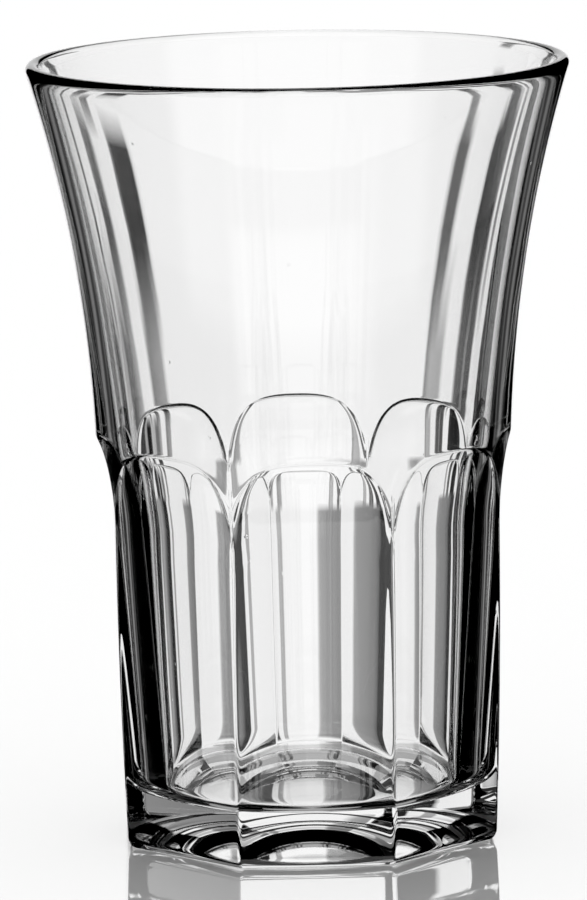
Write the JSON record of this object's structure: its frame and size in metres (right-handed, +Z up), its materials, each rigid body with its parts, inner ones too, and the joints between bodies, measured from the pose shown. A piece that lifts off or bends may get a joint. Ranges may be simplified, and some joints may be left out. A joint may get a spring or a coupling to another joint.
{
  "type": "soda tumbler",
  "caption": "Clear pressed-glass drinking tumbler: flared round bowl with a rounded lip over a straight body of arched flat panels, on a thick faceted base.",
  "frame": {"origin": "centre of the foot, on the plane that the glass stands on", "axes": "+Z up along the glass's axis, one panel faces -Y"},
  "size_m": [0.0862, 0.0862, 0.125],
  "materials": {
    "clear_glass": "clear soda-lime glass, pressed and fire-polished"
  },
  "bodies": {
    "root": {"base": "clear_glass", "panelled_body": "clear_glass", "flared_bowl": "clear_glass", "lip": "clear_glass"}
  },
  "joints": []
}
